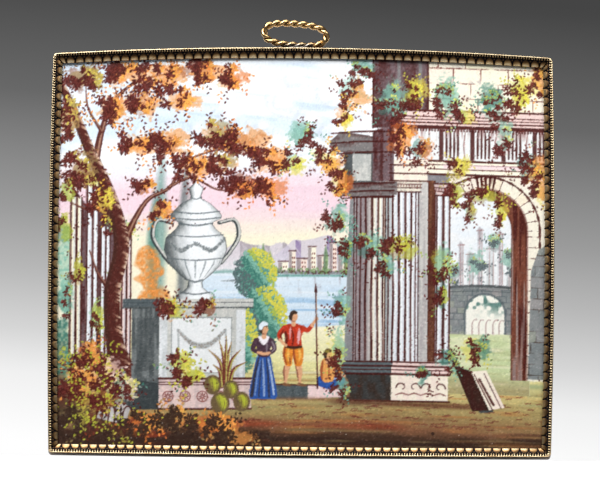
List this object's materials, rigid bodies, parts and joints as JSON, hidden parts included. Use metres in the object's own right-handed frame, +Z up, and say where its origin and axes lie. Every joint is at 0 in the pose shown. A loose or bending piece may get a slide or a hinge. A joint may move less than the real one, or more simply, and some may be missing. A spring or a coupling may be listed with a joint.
{
  "type": "painted enamel plaque",
  "caption": "Slightly domed rectangular painted enamel plaque in a stamped gilt-brass frame, hung by a twisted-wire loop soldered on its top edge.",
  "frame": {"origin": "point where a hook bears: under the loop's top run, over the middle of the plaque's width, midway through the loop's wire", "axes": "+X along the plaque's width, to the viewer's right; +Z up as it hangs; the painted face looks along -Y, and +Y points at the wall"},
  "size_m": [0.165, 0.0117, 0.1456],
  "materials": {
    "enamel": "glossy vitreous enamel on a copper core, painted with a landscape in front, plain speckled cream at the back",
    "gilt_brass": "stamped gilt brass, dark tarnish in the hollows, gold on the crests",
    "gilt_wire": "bright gilt brass wire, grey solder where it is fixed"
  },
  "bodies": {
    "root": {"enamel_plaque": "enamel", "gilt_frame": "gilt_brass", "hanging_loop": "gilt_wire"}
  },
  "joints": []
}
